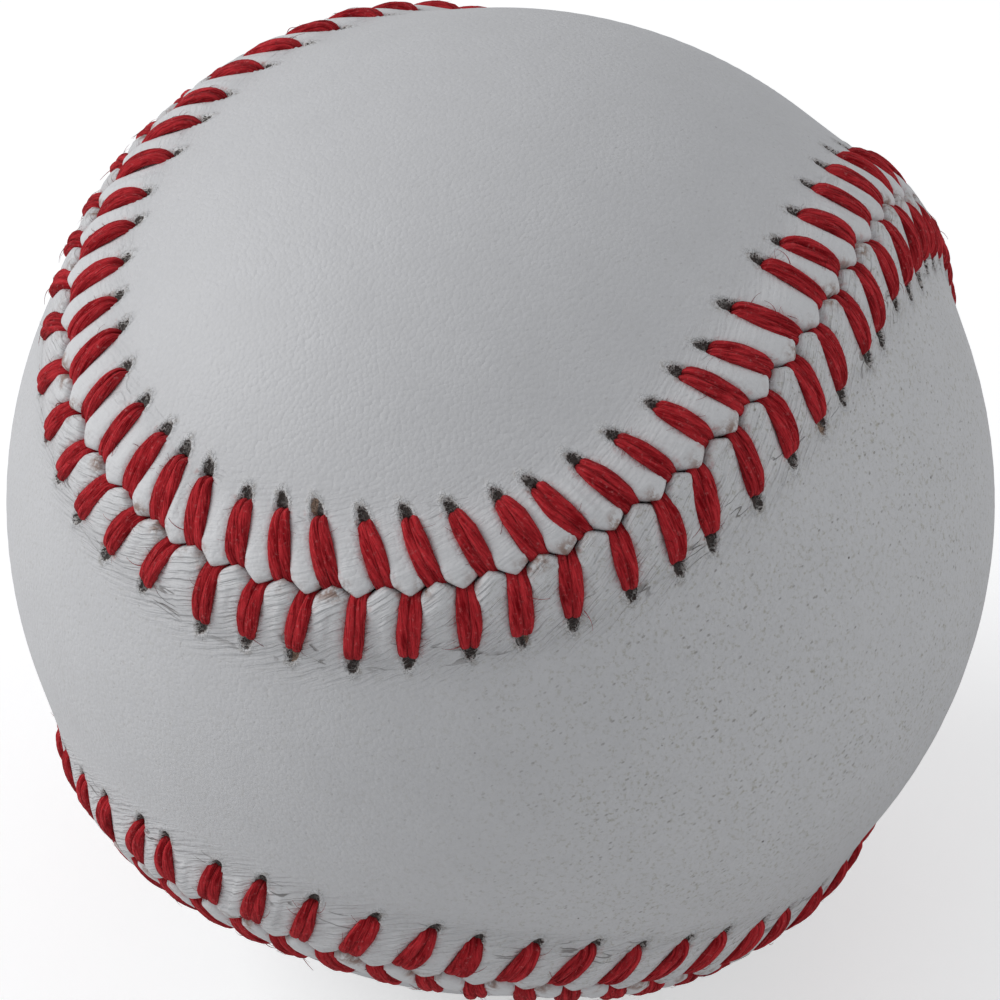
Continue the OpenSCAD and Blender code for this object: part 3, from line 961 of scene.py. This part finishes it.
def fibre_roots(row, up, ahead, stretch):
    """Where stray fibres stand on the legs: root, outward, heading and length of each."""
    k = np.repeat(np.arange(STITCHES), FIBRES_A_LEG)
    reach = drawn.uniform(*FIBRE_REACH, len(k))
    edge = drawn.choice([-1, 1], len(k))
    off = edge * drawn.uniform(*FIBRE_OFF, len(k)) * row["width"][k]
    height = COVER_R + np.interp(reach, leg_across, leg_height) + STRAND_H * (1 - off ** 2)
    turn = (reach - LEG_MID) / LEAN_COS / COVER_R * stretch[k, 0]
    sine, cosine = np.sin(turn)[:, None], np.cos(turn)[:, None]
    outward = up[k] * cosine + ahead[k] * sine
    aside = np.cross(up, ahead)[k]
    away = drawn.normal(*FIBRE_AWAY, len(k))[:, None]
    forth = drawn.choice([-1, 1], (len(k), 1))
    heading = (np.cos(away) * (ahead[k] * cosine - up[k] * sine) * forth
               + np.sin(away) * aside * edge[:, None])
    long = np.clip(drawn.lognormal(-0.85, 0.55, len(k)), *FIBRE_LONG)
    return outward * height[:, None] + aside * off[:, None], outward, heading, long


def sewn_points(name, row):
    """Points that carry what the tree reads: one for each leg, then one for each stray fibre."""
    up, ahead, stretch = leg_axes(row)
    roots, outward, heading, long = fibre_roots(row, up, ahead, stretch)
    mesh = mesh_of(name, np.concatenate([up * COVER_R, roots]), [])
    for label, kind, data in (
            ("up", "FLOAT_VECTOR", [up, outward]), ("ahead", "FLOAT_VECTOR", [ahead, heading]),
            ("stretch", "FLOAT_VECTOR", [stretch, np.repeat(long[:, None], 3, 1)]),
            ("shape", "INT", [drawn.integers(0, LEG_SHAPES, STITCHES),
                              drawn.integers(LEG_SHAPES, LEG_SHAPES + FIBRE_SHAPES, len(long))]),
            ("tint", "FLOAT", [drawn.uniform(0, 1, STITCHES), drawn.uniform(0, 1, len(long))])):
        mesh.attributes.new(label, kind, "POINT").data.foreach_set(
            "vector" if kind == "FLOAT_VECTOR" else "value", np.concatenate(data).ravel())
    return mesh


thread_shapes = bpy.data.collections.new("thread_shapes")
for number in range(LEG_SHAPES):
    thread_shapes.objects.link(thread_leg(f"leg_{number}", number))
for number in range(FIBRE_SHAPES):
    thread_shapes.objects.link(stray_fibre(f"stray_{number}", number))
red_thread = thread_finish()
sewing = set_on_points()
for name, node, row in (("thread_legs_top_bottom", "stitches_top_bottom", rows_of_stitches[1]),
                        ("thread_legs_sides", "stitches_sides", rows_of_stitches[-1])):
    legs = sewing.grow(name, sewn_points(name, row), {
        "Shapes": thread_shapes, "Thread width": 1.0, "Material": red_thread})
    for label in ("up", "ahead", "stretch", "shape"):
        legs.data.attributes.remove(legs.data.attributes[label])
    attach(legs, "root")
    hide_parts(node)


# Floor: a matt pale sheet under the ball. It glows a little to the camera, so that it shows white
# and keeps only the ball's soft shadow.
FLOOR_GLOW = 0.44
FLOOR_HALF = 6.0


def floor_finish():
    finish = Finish("pale_floor")
    camera_ray = finish.node("ShaderNodeLightPath", out="Is Camera Ray")
    matt = finish.node("ShaderNodeBsdfDiffuse", {}, {"Color": (0.8, 0.8, 0.8, 1)})
    glow = finish.node("ShaderNodeEmission", {}, {"Color": (1, 1, 1, 1), "Strength": FLOOR_GLOW})
    both = finish.node("ShaderNodeAddShader", {}, {0: matt, 1: glow})
    finish.node("ShaderNodeOutputMaterial", {}, {"Surface": finish.node(
        "ShaderNodeMixShader", {}, {0: camera_ray, 1: matt, 2: both})})
    return finish.material


floor_mesh = bpy.data.meshes.new("floor")
floor_mesh.from_pydata([(x * FLOOR_HALF, y * FLOOR_HALF, -COVER_R * MM) for x, y in (
    (-1, -1), (1, -1), (1, 1), (-1, 1))], [], [(0, 1, 2, 3)])
floor = bpy.data.objects.new("floor", floor_mesh)
scene.collection.objects.link(floor)
floor_mesh.materials.append(floor_finish())


# Sky: an even, faintly blue light from all round, as in a white studio. The camera sees it as
# plain white behind the floor.
SKY_LIGHT = 0.42
world = bpy.data.worlds.new("studio")
world.use_nodes = True
scene.world = world
sky = Nodes(world.node_tree)
sky.tree.nodes.clear()
camera_ray = sky.node("ShaderNodeLightPath", out="Is Camera Ray")
light = sky.node("ShaderNodeBackground", {}, {
    "Color": (0.95, 0.97, 1.0, 1), "Strength": SKY_LIGHT})
white = sky.node("ShaderNodeBackground", {}, {"Color": (1, 1, 1, 1), "Strength": 1.0})
sky.node("ShaderNodeOutputWorld", {}, {"Surface": sky.node(
    "ShaderNodeMixShader", {}, {0: camera_ray, 1: light, 2: white})})
